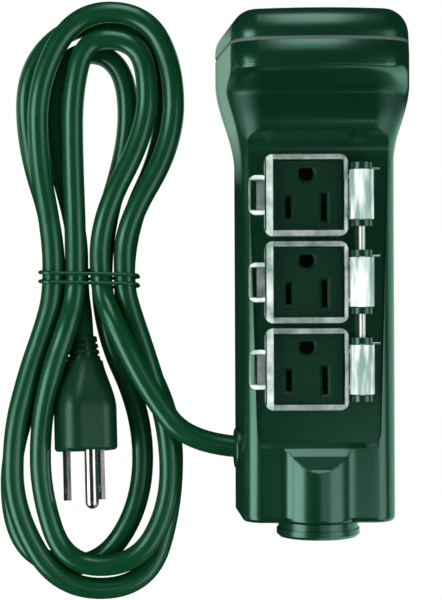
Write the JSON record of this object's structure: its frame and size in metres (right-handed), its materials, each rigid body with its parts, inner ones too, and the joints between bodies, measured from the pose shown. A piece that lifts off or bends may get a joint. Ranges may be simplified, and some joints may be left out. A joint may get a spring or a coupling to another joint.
{
  "type": "outdoor socket spike head",
  "caption": "Garden power head with covered sockets, a socket for a ground spike, and its bundled cord and plug.",
  "frame": {"origin": "middle of the moulded body's back, midway along the length from the collar's end to the cap's top, on the plane that the back lies on", "axes": "+X away from the cord side, +Y towards the capped head, +Z out of the sockets"},
  "size_m": [0.1524, 0.2189, 0.0577],
  "materials": {
    "housing_green": "moulded, semi-gloss, dark forest green",
    "cap_green": "moulded, semi-gloss, dark forest green",
    "seal_grey": "soft grey gasket",
    "socket_green": "moulded, satin, dark green",
    "cover_clear": "clear moulded plastic",
    "steel": "zinc plated",
    "spring_steel": "bare wire",
    "cord_green": "smooth extruded jacket, dark green",
    "grommet_green": "moulded, satin, dark green",
    "plug_green": "soft moulded, satin, green",
    "tie_green": "plastic-coated wire",
    "pin_nickel": "nickel plated, polished",
    "contact_brass": "rolled strip",
    "carrier_grey": "moulded, plain",
    "core_black": "extruded insulation",
    "core_white": "extruded insulation",
    "core_green": "extruded insulation"
  },
  "bodies": {
    "housing": {"front_housing": "housing_green", "back_cover": "housing_green", "head_cap": "cap_green", "spike_collar": "cap_green", "cap_seal": "seal_grey", "housing_seal": "seal_grey", "socket_face_top": "socket_green", "socket_face_middle": "socket_green", "socket_face_bottom": "socket_green", "hinge_rod": "steel", "cover_screws": "steel", "cap_screws": "steel", "carrier_screws": "steel", "clamp_screws": "steel", "spring_top": "spring_steel", "spring_middle": "spring_steel", "spring_bottom": "spring_steel", "cord_lead": "cord_green", "cord_hank": "cord_green", "cord_grommet": "grommet_green", "plug_strain_relief": "grommet_green", "plug_body": "plug_green", "hank_tie": "tie_green", "plug_line_blade": "pin_nickel", "plug_neutral_blade": "pin_nickel", "plug_ground_pin": "pin_nickel", "line_bus": "contact_brass", "neutral_bus": "contact_brass", "ground_bus": "contact_brass", "contact_carrier": "carrier_grey", "cord_clamp": "carrier_grey", "wire_line": "core_black", "wire_neutral": "core_white", "wire_ground": "core_green"},
    "lid_top": {"cover_top": "cover_clear"},
    "lid_middle": {"cover_middle": "cover_clear"},
    "lid_bottom": {"cover_bottom": "cover_clear"}
  },
  "joints": [
    {"name": "cover_top_hinge", "type": "hinge", "parent": "housing", "child": "lid_top", "pos_m": [0.0149, 0.0285, 0.0396], "axis": [0, 1, 0], "range_deg": [0, 115], "stiffness_Nm_per_rad": 0.003, "springref_deg": -80.21, "deforming": ["spring_top"]},
    {"name": "cover_middle_hinge", "type": "hinge", "parent": "housing", "child": "lid_middle", "pos_m": [0.0149, -0.002, 0.0396], "axis": [0, 1, 0], "range_deg": [0, 115], "stiffness_Nm_per_rad": 0.003, "springref_deg": -80.21, "deforming": ["spring_middle"]},
    {"name": "cover_bottom_hinge", "type": "hinge", "parent": "housing", "child": "lid_bottom", "pos_m": [0.0149, -0.0325, 0.0396], "axis": [0, 1, 0], "range_deg": [0, 115], "stiffness_Nm_per_rad": 0.003, "springref_deg": -80.21, "deforming": ["spring_bottom"]}
  ]
}
